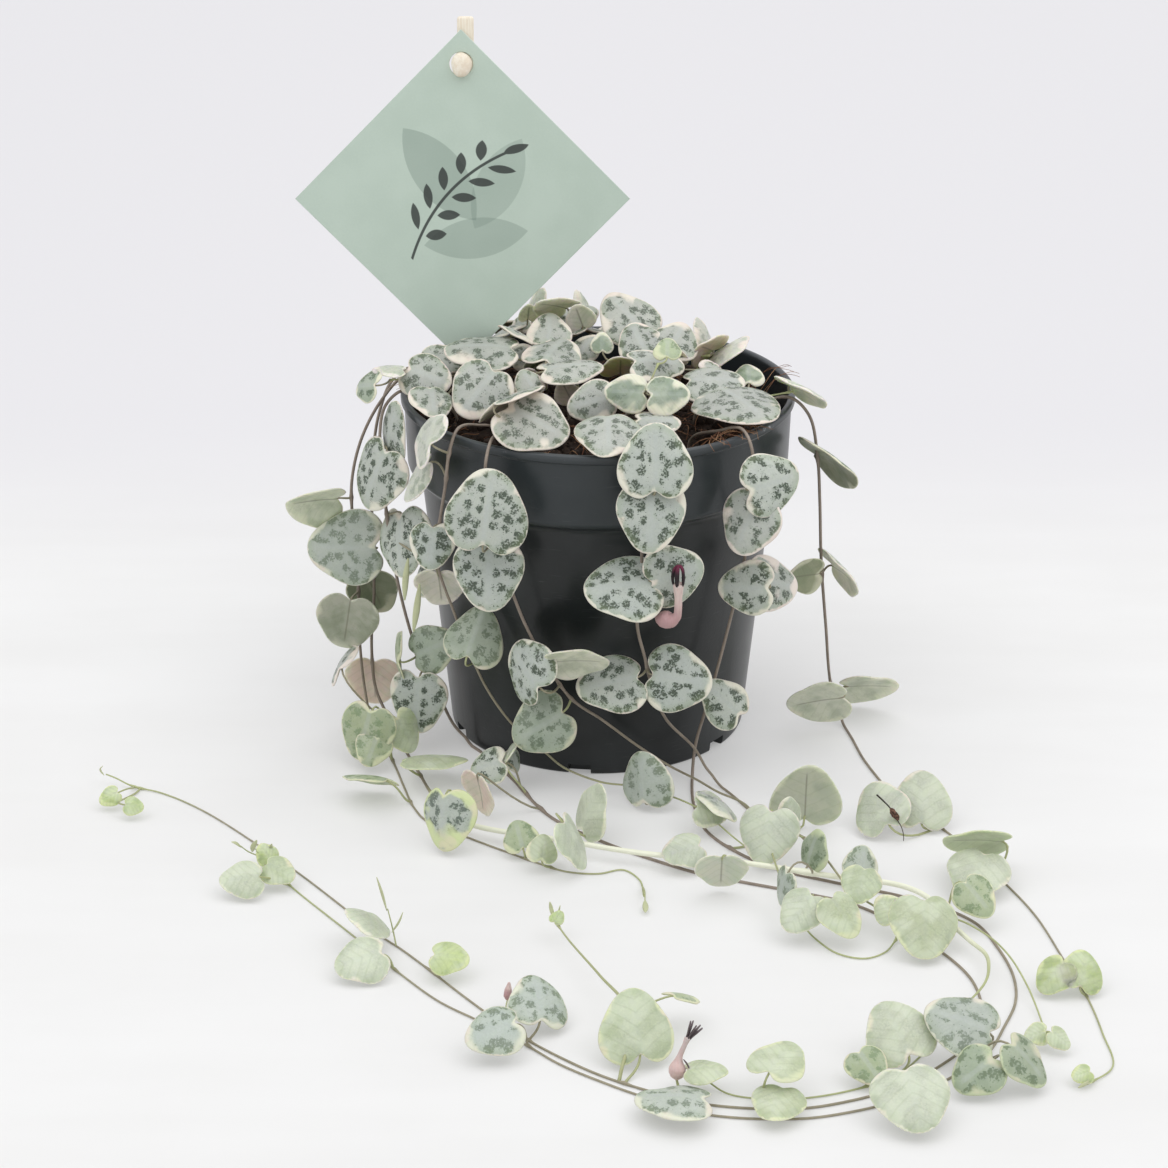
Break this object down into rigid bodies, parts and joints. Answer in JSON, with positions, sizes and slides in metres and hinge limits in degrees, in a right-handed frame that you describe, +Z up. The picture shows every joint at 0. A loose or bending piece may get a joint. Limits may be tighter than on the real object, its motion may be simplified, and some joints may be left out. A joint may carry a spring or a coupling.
{
  "type": "potted trailing plant",
  "caption": "String of hearts in a tapered nursery pot: trailing stems of mottled heart-shaped leaves hang over the rim and lie along the surface, with a square label card on a stake.",
  "frame": {"origin": "middle of the pot's flat underside, on the surface that the pot stands on", "axes": "+Z up along the pot's axis; -Y towards the side that most of the stems trail to, which the label card faces; +X to the right as seen from there"},
  "size_m": [0.2469, 0.2796, 0.1895],
  "materials": {
    "pot": "satin dark grey moulded plastic",
    "soil": "rough dark brown potting mix with coir fibres",
    "card": "printed sage green card",
    "stake": "bare pale wood",
    "foliage": "waxy silvery grey-green, mottled dark green, on thin brown-grey stems",
    "bloom": "soft pale pink",
    "cage": "dark maroon petals",
    "dried": "shrivelled brown petals"
  },
  "bodies": {
    "root": {"pot": "pot", "soil": "soil", "card": "card", "card_stake": "stake", "vine_right": "foliage", "vine_right_front": "foliage", "vine_front": "foliage", "vine_front_left": "foliage", "vine_left_front": "foliage", "vine_left": "foliage", "vine_left_outer": "foliage", "vine_pale": "foliage", "vine_back_left": "foliage", "vine_back_right": "foliage", "crown_left": "foliage", "crown_front_left": "foliage", "crown_middle": "foliage", "crown_front": "foliage", "crown_right": "foliage", "crown_back_right": "foliage", "crown_back_left": "foliage", "flower_front_tube": "bloom", "flower_front_cage": "cage", "flower_ground_tube": "bloom", "flower_ground_cage": "cage", "flower_dried": "dried"}
  },
  "joints": []
}
